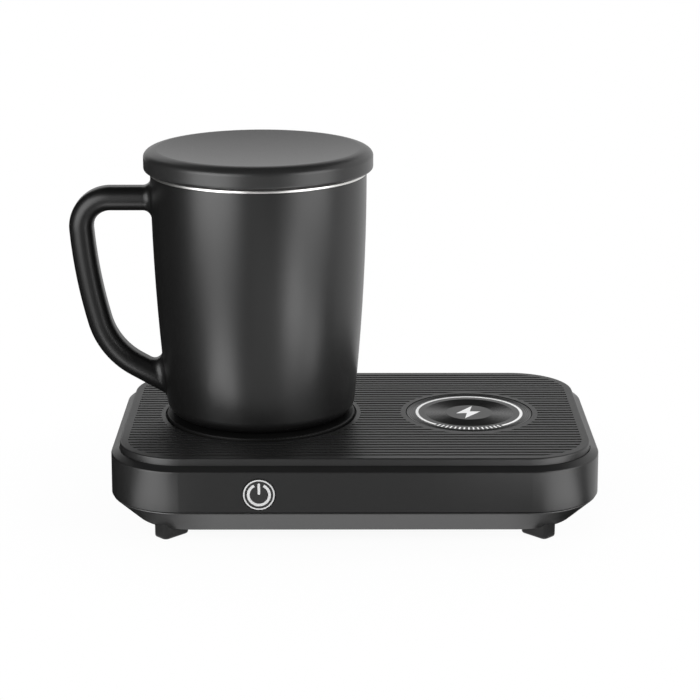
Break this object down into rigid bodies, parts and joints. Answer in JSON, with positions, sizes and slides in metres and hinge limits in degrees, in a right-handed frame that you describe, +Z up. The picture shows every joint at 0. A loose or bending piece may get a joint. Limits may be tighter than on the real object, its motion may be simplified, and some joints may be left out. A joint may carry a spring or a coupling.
{
  "type": "electric mug warmer",
  "caption": "Flat powered base with a round heater plate, ribbed top, round charging disc and push button, carrying a lidded double-walled mug with a side handle.",
  "frame": {"origin": "on the table, at the middle of the whole object's outline in plan, mug handle included", "axes": "+X to the right along the front, the side with the power button, +Y to the back, +Z up"},
  "size_m": [0.2192, 0.1287, 0.1509],
  "materials": {
    "housing": "fine satin grain",
    "plate": "satin, ribbed",
    "inlay": "satin, finely grooved",
    "heater": "smooth coated",
    "seal": "matte",
    "element": "matte silicone",
    "insulation": "felted fibre",
    "clamp": "pressed",
    "screws": "plain",
    "sensor": "plain",
    "cutout": "plain",
    "coil": "enamelled copper",
    "ferrite": "sintered",
    "holder": "moulded",
    "board": "lacquered",
    "chip": "moulded",
    "choke": "sintered",
    "capacitor": "drawn",
    "inlet": "drawn",
    "switch": "moulded",
    "plunger": "moulded",
    "lamp": "frosted",
    "button": "satin with a printed icon",
    "foot": "satin",
    "heater_lead": "silicone sleeve",
    "coil_lead": "silicone sleeve",
    "mug_body": "satin black coat",
    "steel": "brushed",
    "mug_bottom": "machined",
    "handle": "satin",
    "lid": "satin",
    "lid_inside": "moulded",
    "lid_ring": "silicone"
  },
  "bodies": {
    "base": {"lower_shell": "housing", "upper_shell": "housing", "top_plate": "plate", "charging_disc": "inlay", "heater_plate": "heater", "heater_seal": "seal", "heating_element": "element", "heater_insulation": "insulation", "heater_clamp": "clamp", "heater_screws": "screws", "thermistor": "sensor", "thermal_fuse": "cutout", "charging_coil": "coil", "ferrite_plate": "ferrite", "coil_holder": "holder", "coil_screws": "screws", "main_board": "board", "board_screws": "screws", "control_chips": "chip", "power_inductor": "choke", "capacitors": "capacitor", "power_inlet": "inlet", "button_board": "board", "tact_switch": "switch", "status_light": "lamp", "feet": "foot", "housing_screws": "screws", "heater_leads": "heater_lead", "coil_leads": "coil_lead"},
    "button": {"power_button": "button", "switch_plunger": "plunger"},
    "mug": {"mug_shell": "mug_body", "mug_liner": "steel", "mug_base": "mug_bottom", "mug_handle": "handle"},
    "lid": {"lid_cap": "lid", "lid_plug": "lid_inside", "lid_seal": "lid_ring"}
  },
  "joints": [
    {"name": "button_press", "type": "slide", "parent": "base", "child": "button", "axis": [0, 1, 0], "range_m": [0, 0.0008], "stiffness_N_per_m": 300, "springref_m": -0.001},
    {"name": "mug_lift", "type": "slide", "parent": "base", "child": "mug", "axis": [0, 0, 1], "range_m": [0, 0.12]},
    {"name": "lid_lift", "type": "slide", "parent": "mug", "child": "lid", "axis": [0, 0, 1], "range_m": [0, 0.06]}
  ]
}
